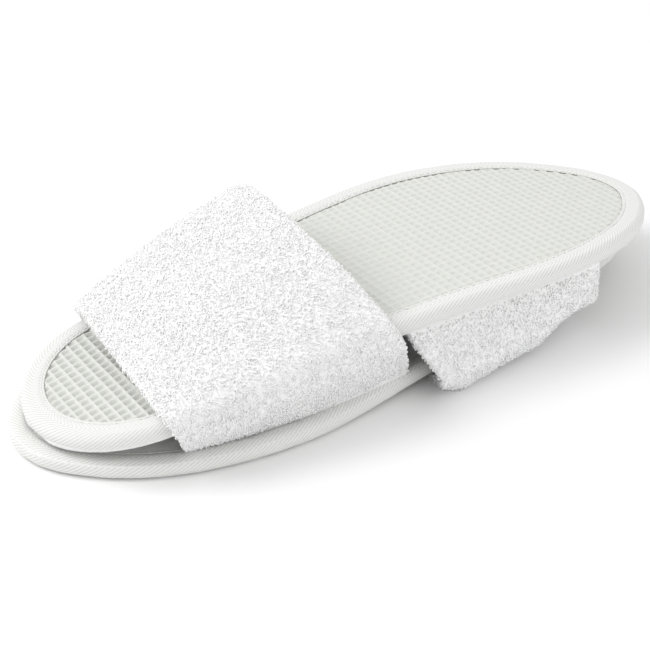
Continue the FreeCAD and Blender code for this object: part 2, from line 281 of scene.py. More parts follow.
@dataclass(frozen=True)
class Slipper:
    """One slipper's shape and its place in the row frame."""

    side: Side
    flex: Flex
    arches: tuple[Arch, ...]
    move: tuple[float, float, float]
    turns: tuple[float, float, float]
    turned_over: bool
    cut: SoleCut = field(default_factory=SoleCut)
    layers: Layers = field(default_factory=Layers)

    def matrix(self) -> Matrix:
        """Transform from the slipper's frame in mm to the row frame in metres."""
        yaw, pitch, roll = (math.radians(turn) for turn in self.turns)
        turn = Matrix.Rotation(yaw, 4, "Z") @ Matrix.Rotation(pitch, 4, "Y") @ Matrix.Rotation(roll, 4, "X")
        if self.turned_over:
            turn = turn @ Matrix.Rotation(math.pi, 4, "Y")
        return Matrix.Scale(MM, 4) @ Matrix.Translation(self.move) @ turn

    def pose(self, points: Array) -> Array:
        """Moves points from the slipper's frame to the row frame."""
        matrix = np.array(self.matrix())
        return points @ matrix[:3, :3].T + matrix[:3, 3]

    def aim(self, directions: Array) -> Array:
        """Turns directions from the slipper's frame to the row frame."""
        return unit(directions @ np.array(self.matrix())[:3, :3].T)


LOWER = Slipper(
    side=Side.LOWER,
    flex=Flex(152.0, 400.0, 1.0, -52.0, 450.0, 4.1),
    arches=(
        Arch(-89.8, -0.49, 0.19, -38.0, (-42.5, 18.5, 8.0), 600.0, (36.0, 18.5, 10.5), 42.0),
        Arch(-48.5, -0.30, 0.13, -48.5, (-49.5, 25.0, 9.5), 260.0, (33.5, 31.2, 15.0), 50.0),
        Arch(4.5, -0.43, 0.12, -50.0, (-51.8, 30.5, 10.5), 165.0, (32.0, 40.0, 18.0), 49.5),
    ),
    move=(-2.735, 3.98, 0.0),
    turns=(0.0, 0.0, 0.0),
    turned_over=False,
)
UPPER = Slipper(
    side=Side.UPPER,
    flex=Flex(10.0, 714.0, 11.5, 10.0, 714.0, 11.5),
    arches=(
        Arch(-88.0, 0.4, 0.0, -50.0, (-46.5, 27.6, 8.0), 3000.0, (55.0, 20.6, 10.0), 50.0),
        Arch(6.0, -0.5, -0.2, -48.0, (-49.5, 27.7, 8.0), 3000.0, (57.0, 22.6, 8.0), 48.0),
    ),
    move=(4.8 - 2.735, -6.1 + 3.98, 33.9),
    turns=(-1.7, -2.6, -2.6),
    turned_over=True,
)


# ---- mesh helpers


def grid_faces(rows: int, columns: int, closed_rows: bool = False, closed_columns: bool = False,
               offset: int = 0) -> Array:
    """Quads of a grid of points laid out row by row.

    Args:
        rows: Number of rows of points.
        columns: Number of points in a row.
        closed_rows: Joins the last row to the first.
        closed_columns: Joins each row's last point to its first.
        offset: Index of the grid's first point.

    Returns:
        One row of four indices for each quad.
    """
    r = np.arange(rows if closed_rows else rows - 1)
    c = np.arange(columns if closed_columns else columns - 1)
    r0, c0 = (a.ravel() for a in np.meshgrid(r, c, indexing="ij"))
    r1, c1 = (r0 + 1) % rows, (c0 + 1) % columns
    quads = [r0 * columns + c0, r0 * columns + c1, r1 * columns + c1, r1 * columns + c0]
    return np.stack(quads, 1) + offset


def build_mesh(name: str, points: Array, faces: Array | list) -> Obj:
    """Makes a smooth-shaded mesh object from points in the row frame.

    Args:
        name: The piece's name.
        points: Points in metres.
        faces: Faces as rows of point indices.

    Returns:
        The object, linked to the scene.
    """
    mesh = bpy.data.meshes.new(name)
    mesh.from_pydata(points.tolist(), [], np.asarray(faces).tolist())
    mesh.shade_smooth()
    mesh.validate()
    mesh.update()
    obj = bpy.data.objects.new(name, mesh)
    bpy.context.scene.collection.objects.link(obj)
    return obj


def shell_mesh(name: str, outer: Array, inner: Array) -> Obj:
    """Closes two facing grids of points into one thin solid.

    Args:
        name: The piece's name.
        outer: Grid of points, shaped (rows, columns, 3), whose faces look outwards.
        inner: Matching grid on the other side.

    Returns:
        The object.
    """
    rows, columns = outer.shape[:2]
    size = rows * columns
    top = grid_faces(rows, columns)
    bottom = grid_faces(rows, columns, offset=size)[:, ::-1]
    grid = np.arange(size).reshape(rows, columns)
    rim = np.concatenate([grid[0, :], grid[1:, -1], grid[-1, -2::-1], grid[-2:0:-1, 0]])
    after = np.roll(rim, -1)
    sides = np.stack([after, rim, rim + size, after + size], 1)
    points = np.concatenate([outer.reshape(-1, 3), inner.reshape(-1, 3)])
    obj = build_mesh(name, points, np.concatenate([top, bottom, sides]))
    face_outwards(obj)
    return obj


def face_outwards(obj: Obj) -> None:
    """Turns a closed mesh right side out when its volume comes out negative."""
    mesh = obj.data
    mesh.calc_loop_triangles()
    tri = np.zeros(len(mesh.loop_triangles) * 3, np.int32)
    mesh.loop_triangles.foreach_get("vertices", tri)
    a, b, c = (read_points(obj)[tri[i::3]] for i in range(3))
    if float((a * np.cross(b, c)).sum()) < 0:
        mesh.flip_normals()


def bake_modifiers(obj: Obj, name: str) -> Obj:
    """Turns an object's modifiers into a plain mesh and removes the source object.

    Args:
        obj: The object whose modifiers are live.
        name: Name of the plain piece.

    Returns:
        The plain piece.
    """
    depsgraph = bpy.context.evaluated_depsgraph_get()
    mesh = bpy.data.meshes.new_from_object(obj.evaluated_get(depsgraph), depsgraph=depsgraph)
    mesh.name = name
    plain = bpy.data.objects.new(name, mesh)
    bpy.context.scene.collection.objects.link(plain)
    bpy.data.objects.remove(obj)
    return plain


def smooth_field(points: Array, scale: float, seed: float) -> Array:
    """Smooth noise from -1 to 1 at points.

    Args:
        points: Points to read, in mm.
        scale: Size of the lumps, in mm.
        seed: Shifts the noise, so that pieces differ.

    Returns:
        One value for each point.
    """
    flat = points.reshape(-1, points.shape[-1]) / scale
    if flat.shape[1] == 2:
        flat = np.concatenate([flat, np.zeros((len(flat), 1))], 1)
    values = [noise.noise(Vector((p[0] + seed, p[1], p[2]))) for p in flat]
    return np.array(values).reshape(points.shape[:-1])


# ---- node trees


class NodeTree:
    """Small helper that adds and wires nodes in one tree."""

    def __init__(self, tree: bpy.types.NodeTree) -> None:
        """Keeps the tree that nodes are added to."""
        self.tree = tree

    def add(self, kind: str, inputs: dict[str | int, object] | None = None,
            **settings: object) -> bpy.types.Node:
        """Adds one node.

        Args:
            kind: The node's type name.
            inputs: Values or sockets for its inputs, by name or number.
            **settings: The node's own properties.

        Returns:
            The node.
        """
        node = self.tree.nodes.new(kind)
        for key, value in settings.items():
            setattr(node, key, value)
        for key, value in (inputs or {}).items():
            if isinstance(value, Socket):
                self.tree.links.new(value, node.inputs[key])
            else:
                node.inputs[key].default_value = value
        return node

    def use(self, kind: str, inputs: dict[str | int, object] | None = None,
            **settings: object) -> Socket:
        """Adds one node as add does, and returns its first output."""
        return self.add(kind, inputs, **settings).outputs[0]

    def math(self, operation: str, a: object, b: object = 0.0) -> Socket:
        """Adds a Math node and returns its value."""
        return self.use("ShaderNodeMath", {0: a, 1: b}, operation=operation)

    def spread(self, low: object, high: object, seed: object) -> Socket:
        """Adds a random number for each point, from low to high, and returns it."""
        return self.add("FunctionNodeRandomValue", {2: low, 3: high, "Seed": seed}).outputs[1]


def new_group(name: str, inputs: dict[str, object]) -> tuple[NodeTree, object]:
    """Starts a Geometry Nodes group with named inputs.

    Args:
        name: The group's name.
        inputs: Default value for each input's name: a float, an int, or None for a material.

    Returns:
        The tree helper and the outputs of its input node.
    """
    group = bpy.data.node_groups.new(name, "GeometryNodeTree")
    group.interface.new_socket("Geometry", in_out="INPUT", socket_type="NodeSocketGeometry")
    kinds = {float: "NodeSocketFloat", int: "NodeSocketInt", type(None): "NodeSocketMaterial"}
    for title, default in inputs.items():
        socket = group.interface.new_socket(title, in_out="INPUT", socket_type=kinds[type(default)])
        if default is not None:
            socket.default_value = default
    group.interface.new_socket("Geometry", in_out="OUTPUT", socket_type="NodeSocketGeometry")
    helper = NodeTree(group)
    return helper, helper.add("NodeGroupInput").outputs


def run_group(obj: Obj, group: bpy.types.NodeTree, values: dict[str, object],
              name: str) -> Obj:
    """Runs a Geometry Nodes group on an object and keeps the plain result.

    Args:
        obj: The source object, which is used up.
        group: The group to run.
        values: Values of its named inputs.
        name: Name of the resulting piece.

    Returns:
        The plain piece.
    """
    modifier = obj.modifiers.new(name, "NODES")
    modifier.node_group = group
    for item in group.interface.items_tree:
        if item.item_type == "SOCKET" and item.in_out == "INPUT" and item.name in values:
            modifier[item.identifier] = values[item.name]
    return bake_modifiers(obj, name)


def yarn_group() -> bpy.types.NodeTree:
    """Group that sets a short bent length of yarn on every point, standing along its outward vector.

    Returns:
        The group. Its inputs are the yarn's sizes, how far it leans and twists, and its material.
    """
    tree, given = new_group("yarn_on_points", {
        "Reach": 1.0, "Height": 1.0, "Yarn Radius": 0.3, "Sides": 3, "Steps": 2, "Twist": 0.0,
        "Lean": 0.0, "Size Spread": 0.2, "Seed": 1, "Finish": None})
    half = tree.math("MULTIPLY", given["Reach"], 0.5)
    low = tree.math("MULTIPLY", given["Height"], -0.35)
    start = tree.use("ShaderNodeCombineXYZ", {0: tree.math("MULTIPLY", half, -1.0), 2: low})
    peak = tree.use("ShaderNodeCombineXYZ", {2: tree.math("MULTIPLY", given["Height"], 2.0)})
    end = tree.use("ShaderNodeCombineXYZ", {0: half, 2: low})
    path = tree.use("GeometryNodeCurveQuadraticBezier", {
        "Resolution": given["Steps"], "Start": start, "Middle": peak, "End": end})
    ring = tree.use("GeometryNodeCurvePrimitiveCircle", {
        "Resolution": given["Sides"], "Radius": given["Yarn Radius"]}, mode="RADIUS")
    yarn = tree.use("GeometryNodeCurveToMesh", {"Curve": path, "Profile Curve": ring, "Fill Caps": True})
    outward, along = (tree.use("GeometryNodeInputNamedAttribute", {"Name": name}, data_type="FLOAT_VECTOR")
                      for name in ("outward", "along"))
    facing = tree.use("FunctionNodeAlignRotationToVector", {"Vector": along}, axis="X")
    standing = tree.use("FunctionNodeAlignRotationToVector", {
        "Rotation": facing, "Vector": outward}, axis="Z", pivot_axis="X")
    turns = [tree.spread(tree.math("MULTIPLY", given[name], -1.0), given[name],
                         tree.math("ADD", given["Seed"], shift))
             for name, shift in (("Twist", 0.0), ("Lean", 7.0))]
    euler = tree.use("ShaderNodeCombineXYZ", {0: turns[1], 2: turns[0]})
    as_turn = tree.use("FunctionNodeEulerToRotation", {0: euler})
    turned = tree.use("FunctionNodeRotateRotation", {0: standing, 1: as_turn}, rotation_space="LOCAL")
    size = tree.spread(tree.math("SUBTRACT", 1.0, given["Size Spread"]),
                       tree.math("ADD", 1.0, given["Size Spread"]),
                       tree.math("ADD", given["Seed"], 13.0))
    placed = tree.use("GeometryNodeInstanceOnPoints", {
        "Points": given["Geometry"], "Instance": yarn, "Rotation": turned, "Scale": size})
    real = tree.use("GeometryNodeRealizeInstances", {"Geometry": placed})
    soft = tree.use("GeometryNodeSetShadeSmooth", {"Geometry": real})
    dressed = tree.use("GeometryNodeSetMaterial", {"Geometry": soft, "Material": given["Finish"]})
    tree.add("NodeGroupOutput", {"Geometry": dressed})
    return tree.tree


def waffle_group() -> bpy.types.NodeTree:
    """Group that presses a square waffle of pits into a flat grid, pit by pit.

    Returns:
        The group. Its inputs are the pitch, the rib's share of it, the depth and the material.
    """
    tree, given = new_group("waffle_pits", {
        "Pitch": 3.9, "Rib Share": 0.3, "Wall Share": 0.3, "Depth": 1.0, "Finish": None})
    apart = tree.add("ShaderNodeSeparateXYZ", {0: tree.use("GeometryNodeInputPosition")})
    shares = []
    for axis in (0, 1):
        cell = tree.math("FRACT", tree.math("DIVIDE", apart.outputs[axis], given["Pitch"]))
        from_middle = tree.math("ABSOLUTE", tree.math("SUBTRACT", cell, 0.5))
        shares.append(tree.math("POWER", tree.math("MULTIPLY", from_middle, 2.0), 5.0))
    spread = tree.math("POWER", tree.math("ADD", shares[0], shares[1]), 0.2)
    floor_end = tree.math("SUBTRACT", 1.0, tree.math("ADD", given["Rib Share"], given["Wall Share"]))
    wall_end = tree.math("SUBTRACT", 1.0, given["Rib Share"])
    height = tree.use("ShaderNodeMapRange", {
        "Value": spread, "From Min": floor_end, "From Max": wall_end, "To Min": 1.0, "To Max": 0.0},
        interpolation_type="SMOOTHSTEP")
    press = tree.math("MULTIPLY", height, given["Depth"])
    offset = tree.use("ShaderNodeCombineXYZ", {2: press})
    pressed = tree.use("GeometryNodeSetPosition", {"Geometry": given["Geometry"], "Offset": offset})
    dressed = tree.use("GeometryNodeSetMaterial", {"Geometry": pressed, "Material": given["Finish"]})
    tree.add("NodeGroupOutput", {"Geometry": dressed})
    return tree.tree


# ---- finishes


@dataclass
class Finishes:
    """Procedural finishes, one for each material slot."""

    made: dict[str, bpy.types.Material] = field(default_factory=dict)

    def mottled(self, name: str, colour: tuple[float, float, float], darker: float, scale: float,
                bump: float, roughness: float = 0.9, sheen: float = 0.0,
                depth: str | None = None, painted_groove_shade: float = 0.0) -> None:
        """Soft finish with a fine mottle in colour and relief, and painted shade in the grooves where a
        depth attribute is named.

        Args:
            name: The finish's name.
            colour: Linear base colour.
            darker: Share by which the darkest mottle is darker.
            scale: Scale of the mottle in Object coordinates, per metre.
            bump: Strength of the relief.
            roughness: Surface roughness.
            sheen: Weight of the fuzz at grazing angles.
            depth: Name of a point attribute from 0 in grooves to 1 on ridges, or None.
            painted_groove_shade: Share by which the grooves are painted darker, as painted shade.
        """
        material = bpy.data.materials.new(name)
        material.use_nodes = True
        tree = NodeTree(material.node_tree)
        shader = material.node_tree.nodes["Principled BSDF"]
        for title, value in (("Roughness", roughness), ("Sheen Weight", sheen), ("Specular IOR Level", 0.2)):
            shader.inputs[title].default_value = value
        place = tree.add("ShaderNodeTexCoord")
        grain = tree.use("ShaderNodeTexNoise", {
            "Vector": place.outputs["Object"], "Scale": scale, "Detail": 4.0, "Roughness": 0.6})
        value = tree.use("ShaderNodeMapRange", {
            "Value": grain, "From Min": 0.35, "From Max": 0.65, "To Min": 1.0 - darker,
            "To Max": 1.0})
        # painted shade: the grooves named by the depth attribute are darkened in the base colour
        if depth:
            ridge = tree.add("ShaderNodeAttribute", attribute_name=depth)
            shade = tree.use("ShaderNodeMapRange", {
                "Value": ridge.outputs["Fac"], "To Min": 1.0 - painted_groove_shade, "To Max": 1.0})
            value = tree.math("MULTIPLY", value, shade)
        grey = tree.use("ShaderNodeCombineColor", {0: value, 1: value, 2: value})
        mixed = tree.add("ShaderNodeMix", {0: 1.0, 6: (*colour, 1.0), 7: grey},
                         data_type="RGBA", blend_type="MULTIPLY")
        tree.tree.links.new(mixed.outputs[2], shader.inputs["Base Color"])
        relief = tree.use("ShaderNodeBump", {
            "Strength": bump, "Distance": 0.0004, "Height": grain})
        tree.tree.links.new(relief, shader.inputs["Normal"])
        self.made[name] = material

    def build(self) -> None:
        """Makes every finish."""
        # painted shade: the outsole's pits are darkened by a tenth in the colour
        self.mottled("outsole_eva", (0.71, 0.718, 0.68), 0.03, 260.0, 0.15, 0.7, depth="pit",
                     painted_groove_shade=0.10)
        self.mottled("midsole_board", (0.80, 0.80, 0.76), 0.05, 300.0, 0.1)
        self.mottled("insole_terry", (0.88, 0.88, 0.87), 0.10, 900.0, 0.5, sheen=0.2)
        # painted shade: the tape's twill grooves are darkened in the colour
        self.mottled("binding_tape", (0.88, 0.88, 0.86), 0.05, 1400.0, 0.3, sheen=0.1, depth="weave",
                     painted_groove_shade=0.24)
        self.mottled("thread", (0.84, 0.84, 0.82), 0.08, 2500.0, 0.3)
        self.mottled("terry", (0.975, 0.975, 0.975), 0.02, 700.0, 0.2, sheen=0.2)
        # painted shade: the terry's ground under the loops is greyer than the loops, to stand for the shade
        # between them
        self.mottled("terry_ground_painted_shade", (0.94, 0.94, 0.94), 0.05, 900.0, 0.4)
        self.mottled("foam", (0.82, 0.82, 0.79), 0.08, 1500.0, 0.5)
        self.mottled("lining", (0.84, 0.84, 0.83), 0.08, 1800.0, 0.4)

    def dress(self, obj: Obj, slot: str, finish: str = "") -> None:
        """Gives a piece one finish, its slot's own unless another is named."""
        obj.data.materials.clear()
        obj.data.materials.append(self.made[finish or slot])


def set_attribute(obj: Obj, name: str, values: Array) -> None:
    """Stores a number, or a row of three, for each point of a mesh."""
    kind, key = ("FLOAT", "value") if values.ndim == 1 else ("FLOAT_VECTOR", "vector")
    layer = obj.data.attributes.new(name, kind, "POINT")
    layer.data.foreach_set(key, values.astype(np.float32).ravel())


def read_points(obj: Obj) -> Array:
    """Points of a mesh as rows of three numbers."""
    flat = np.zeros(len(obj.data.vertices) * 3)
    obj.data.vertices.foreach_get("co", flat)
    return flat.reshape(-1, 3)


def write_points(obj: Obj, points: Array) -> None:
    """Puts a mesh's points where they are wanted."""
    obj.data.vertices.foreach_set("co", points.astype(np.float32).ravel())
    obj.data.update()


def keep_clear(points: Array, gap: float) -> Array:
    """Keeps posed points above the floor by a gap in mm."""
    points[:, 2] = np.maximum(points[:, 2], gap * MM)
    return points


def smoothstep(value: Array, low: float, high: float) -> Array:
    """Goes smoothly from 0 at low to 1 at high."""
    t = np.clip((value - low) / (high - low), 0, 1)
    return t * t * (3 - 2 * t)


def settle(obj: Obj, side: Side, *replaced: str) -> Obj:
    """Makes a piece ride with its slipper and stand for the solids named, if any."""
    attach(obj, side.body)
    if replaced:
        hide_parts(*(side.node(name) for name in replaced))
    log.info("%s: %d points", obj.name, len(obj.data.vertices))
    return obj


# ---- soles


@dataclass
class Outsole:
    """Moulded outsole with a square waffle of pits on its face."""

    slipper: Slipper
    finishes: Finishes
    waffle: bpy.types.NodeTree
    pitch: float = 3.91
    turn: float = 5.3
    cell: tuple[float, ...] = (0.085, 0.20, 0.38, 0.62, 0.80, 0.915)
    rib_share: float = 0.18
    wall_share: float = 0.24
    rib_level: float = 0.45
    pit_depth: float = 1.1
    worn: float = 0.5
    heel_reach: tuple[float, float] = (55.0, 95.0)
    edge_inset: float = 6.6
    sunk: float = 0.75
    under_tape: tuple[float, float] = (8.3, 10.2)
    grid_half_width: float = 75.0
    wear_size: float = 17.0
    wear: float = 0.12

    def build(self) -> Obj:
        """Draws the flat grid, presses the pits in and bends the face to the sole's shape."""
        half = self.slipper.cut.length / 2
        count = int(math.ceil((half + 8) / self.pitch))
        cells = np.arange(-count, count + 1)[:, None]
        axis = ((cells + np.array(self.cell)) * self.pitch).ravel()
        across = axis[np.abs(axis) < self.grid_half_width]
        gx, gy = np.meshgrid(axis, across, indexing="ij")
        turn = math.radians(self.turn)
        px = gx * math.cos(turn) - gy * math.sin(turn)
        py = gx * math.sin(turn) + gy * math.cos(turn)
        inset = self.inset(px, py)
        keep = inset > self.edge_inset
        quads = grid_faces(*gx.shape)
        quads = quads[keep.ravel()[quads].all(axis=1)]
        used, index = np.unique(quads, return_inverse=True)
        flat = np.stack([gx.ravel()[used], gy.ravel()[used], np.zeros(len(used))], 1)
        name = self.slipper.side.node("waffle_outsole")
        obj = build_mesh(name + "_grid", flat, index.reshape(quads.shape))
        obj = run_group(obj, self.waffle, {
            "Pitch": self.pitch, "Rib Share": self.rib_share, "Wall Share": self.wall_share,
            "Depth": self.pit_depth,
            "Finish": self.finishes.made["outsole_eva"]}, name)
        x, y, deep = px.ravel()[used], py.ravel()[used], inset.ravel()[used]
        worn = self.worn + (1 - self.worn) * smoothstep(x, *self.heel_reach)
        pit = read_points(obj)[:, 2] * worn
        face = smoothstep(deep, *self.under_tape)
        wear = smooth_field(np.stack([x, y], 1), self.wear_size,
                            3.0 + 9.0 * (self.slipper.side is Side.UPPER))
        height = self.rib_level + self.sunk * (1 - face) + pit * face + self.wear * wear
        write_points(obj, self.slipper.pose(np.stack([x, y, self.slipper.flex.level(x, height)], 1)))
        obj.data.flip_normals()
        obj.data.shade_smooth()
        # the pit attribute carries painted shade into the outsole's pits
        set_attribute(obj, "pit", 1.0 - pit * face / self.pit_depth)
        self.finishes.dress(obj, "outsole_eva")
        return settle(obj, self.slipper.side, "outsole")

    def inset(self, x: Array, y: Array) -> Array:
        """How far inside the sole's outline points lie, in mm."""
        ay = np.abs(y)
        best = np.full(x.shape, np.nan)
        for centre, radius, start, end in self.slipper.cut.half_arcs():
            angle = np.arctan2(ay - centre[1], x - centre[0])
            inside = (angle <= start + TINY) & (angle >= end - TINY)
            distance = radius - np.hypot(x - centre[0], ay - centre[1])
            best = np.where(inside & (np.isnan(best) | (distance < best)), distance, best)
        centre, radius, start, _ = self.slipper.cut.half_arcs()[-1]
        side = radius - ((x - centre[0]) * math.cos(start) + (ay - centre[1]) * math.sin(start))
        return np.where(np.isnan(best), side, best)


@dataclass
class Insole:
    """Short terry pile on top of the insole foam."""

    slipper: Slipper
    finishes: Finishes
    inset: float = 0.9
    rows: int = 210
    columns: int = 81
    end_turn: float = 0.02
    pile: float = 0.08
    lump: float = 0.12
    lump_size: float = 1.6

    def build(self) -> Obj:
        """Draws a closed pad with a slightly lumpy top."""
        cut = self.slipper.cut
        half = cut.length / 2 - self.inset
        turns = np.linspace(self.end_turn, math.pi - self.end_turn, self.rows)
        xs = -half + 2 * half * (0.5 - 0.5 * np.cos(turns))
        ys = np.linspace(-1, 1, self.columns)
        gx, share = np.meshgrid(xs, ys, indexing="ij")
        gy = share * (cut.half_width(gx) - self.inset)
        lump = smooth_field(np.stack([gx, gy], -1), self.lump_size, 5.0) * self.lump
        layers = self.slipper.layers
        faces = [np.stack([gx, gy, self.slipper.flex.level(gx, level)], -1)
                 for level in (layers.insole_top + self.pile + lump, np.full(gx.shape, layers.midsole_top))]
        outer, inner = (self.slipper.pose(p.reshape(-1, 3)).reshape(p.shape) for p in faces)
        obj = shell_mesh(self.slipper.side.node("insole_pad"), outer, inner)
        self.finishes.dress(obj, "insole_terry")
        return settle(obj, self.slipper.side, "insole")


@dataclass
class Binding:
    """Folded tape that wraps the sole's edge, and the two rows of thread that hold it."""

    slipper: Slipper
    finishes: Finishes
    yarn: bpy.types.NodeTree
    ring_step: float = 0.56
    roll: float = 4.6
    puff: float = 0.4
    squareness: float = 0.85
    twill_pitch: float = 1.12
    twill_angle: float = 32.0
    twill_depth: float = 0.12
    rim_band: float = 4.6
    band: float = 2.3
    woven_reach: float = 11.6
    woven_fade: float = 1.2
    unevenness: float = 0.16
    section_points: int = 66
    roll_points: int = 31
    stitch_inset: float = 8.0
    stitch_length: float = 2.5
    stitch_pitch: float = 3.3
    groove: float = 0.33
    thread_height: float = 0.16
    thread_radius: float = 0.19

    def section(self) -> tuple[Array, Array, Array]:
        """Outer line of the tape across its width, from its lower edge over the roll to its upper edge.

        Returns:
            Points as inset and height, outward normals, and distance from the roll's middle.
        """
        full = self.slipper.layers.thickness
        width = self.slipper.layers.tape_width
        upside_down = self.slipper.turned_over
        low_puff, high_puff = (self.puff, 0.0) if upside_down else (0.0, self.puff)
        lip = [(width + 0.15, 0.75), (width + 0.15, 0.45), (width - 0.05, 0.22), (width - 0.5, 0.20),
               (self.stitch_inset + 0.15, 0.30), (self.stitch_inset - 0.15, 0.30),
               (self.stitch_inset - 0.6, 0.16)]
        flat = np.array([*lip, (6.4, 0.02 - 0.6 * low_puff), (5.4, -low_puff)])
        upper = np.array([*lip, (6.4, 0.02 - 0.6 * high_puff), (5.4, -high_puff)])
        upper[:, 1] = full - upper[:, 1]
        turns = np.linspace(0, math.pi, self.roll_points)
        lift = np.where(turns < math.pi / 2, full / 2 + low_puff, full / 2 + high_puff)
        bend = np.stack([
            self.roll * (1 - np.sin(turns) ** self.squareness),
            full / 2 - lift * np.sign(np.cos(turns)) * np.abs(np.cos(turns)) ** self.squareness], 1)
        line = np.concatenate([flat, bend, upper[::-1]])
        walked = walk_along(line)
        at = np.linspace(0, walked[-1], self.section_points)
        points = read_along(at, walked, line)
        normal = line_normals(points)
        if (normal[:, 0] * (points[:, 0] - width / 1.5)).sum() < 0:
            normal = -normal
        return points, normal, at - at[-1] / 2

    def weave(self, u: Array, v: Array) -> Array:
        """Height of the herringbone twill from 0 to 1 at places along and across the tape."""
        past = np.abs(v) - self.rim_band
        zig = np.abs((past / self.band) % 2 - 1) * self.band
        across = np.where(past < 0, v, np.sign(v) * (self.rim_band + self.band - zig))
        angle = math.radians(self.twill_angle)
        phase = (-math.sin(angle) * u + math.cos(angle) * across) / self.twill_pitch
        return 0.5 + 0.5 * np.cos(2 * math.pi * phase)

    def lay(self, inset: Array, height: Array, rim: Array, normal: Array) -> Array:
        """Places section points along the whole outline, in the slipper's frame."""
        xy = rim[:, None, :] - normal[:, None, :] * inset[..., None]
        z = self.slipper.flex.level(xy[..., 0], height)
        return np.concatenate([xy, z[..., None]], -1)

    def build(self) -> Obj:
        """Draws the tape as a closed folded strip."""
        rim, normal, walked = self.slipper.cut.ring(self.ring_step)
        points, out, v = self.section()
        u = walked[:, None]
        weave = self.weave(u, v[None, :])
        soft = smooth_field(np.stack(np.broadcast_arrays(u * 0.12, v[None, :] * 0.3), -1), 1.0,
                            4.0 + 7.0 * (self.slipper.side is Side.UPPER))
        ends = smoothstep(self.woven_reach - np.abs(v), 0.0, self.woven_fade)[None, :]
        lift = self.twill_depth * (weave - 1.0) * ends + self.unevenness * soft * ends
        inset = points[None, :, 0] + out[None, :, 0] * lift
        height = points[None, :, 1] + out[None, :, 1] * lift
        outer = self.lay(inset, np.maximum(height, 0.0), rim, normal)
        top = self.slipper.layers.insole_top
        inner_line = np.array([(9.0, top + 0.02), (5.0, top), (1.6, top - 0.1), (0.85, top - 0.8),
                               (0.75, 3.5), (0.85, 1.6), (1.6, 0.85), (5.0, 0.8), (9.0, 0.78)])
        both = [np.broadcast_to(inner_line[None, :, i], (len(rim), len(inner_line))) for i in (0, 1)]
        inner = self.lay(both[0], both[1], rim, normal)
        grid = np.concatenate([outer, inner], 1)
        rows, columns = grid.shape[:2]
        name = self.slipper.side.node("bound_edge_tape")
        obj = build_mesh(name, self.slipper.pose(grid.reshape(-1, 3)), grid_faces(rows, columns, True, True))
        face_outwards(obj)
        # the weave attribute carries painted shade into the twill grooves; the inner side, set to 0, takes
        # the darkest tone all over
        set_attribute(obj, "weave", np.concatenate([weave, np.zeros(both[0].shape)], 1).ravel())
        self.finishes.dress(obj, "binding_tape")
        stitches = self.stitches(rim, normal, walked)
        self.slipper.side.node("waffle_outsole")
        settle(stitches, self.slipper.side, "binding_stitch")
        return settle(obj, self.slipper.side, "binding_tape")

    def stitches(self, rim: Array, normal: Array, walked: Array) -> Obj:
        """Draws both rows of thread as short stitches sunk in the tape."""
        total = walked[-1] + self.ring_step
        count = int(total / self.stitch_pitch)
        at = np.arange(count) * total / count
        outs = read_along(at, walked, normal)
        spots = read_along(at, walked, rim) - outs * self.stitch_inset
        along = np.stack([-outs[:, 1], outs[:, 0]], 1)
        places, ups, lines = [], [], []
        for height, up in ((self.groove, -1.0), (self.slipper.layers.thickness - self.groove, 1.0)):
            z = self.slipper.flex.level(spots[:, 0], np.full(count, height))
            ahead = self.slipper.flex.level(spots[:, 0] + along[:, 0], np.full(count, height))
            places.append(np.column_stack([spots, z]))
            lines.append(np.column_stack([along, ahead - z]))
            ups.append(np.tile([0.0, 0.0, up], (count, 1)))
        places, ups, lines = (np.concatenate(a) for a in (places, ups, lines))
        name = self.slipper.side.node("binding_stitches")
        obj = build_mesh(name + "_points", self.slipper.pose(places), [])
        set_attribute(obj, "outward", self.slipper.aim(ups))
        set_attribute(obj, "along", self.slipper.aim(lines))
        made = run_group(obj, self.yarn, {
            "Reach": self.stitch_length * MM, "Height": self.thread_height * MM,
            "Yarn Radius": self.thread_radius * MM, "Sides": 5, "Steps": 4, "Twist": 0.08, "Lean": 0.0,
            "Size Spread": 0.05, "Seed": 4, "Finish": self.finishes.made["thread"]}, name)
        write_points(made, keep_clear(read_points(made), 0.05))
        self.finishes.dress(made, "thread")
        return made


# ---- uppers


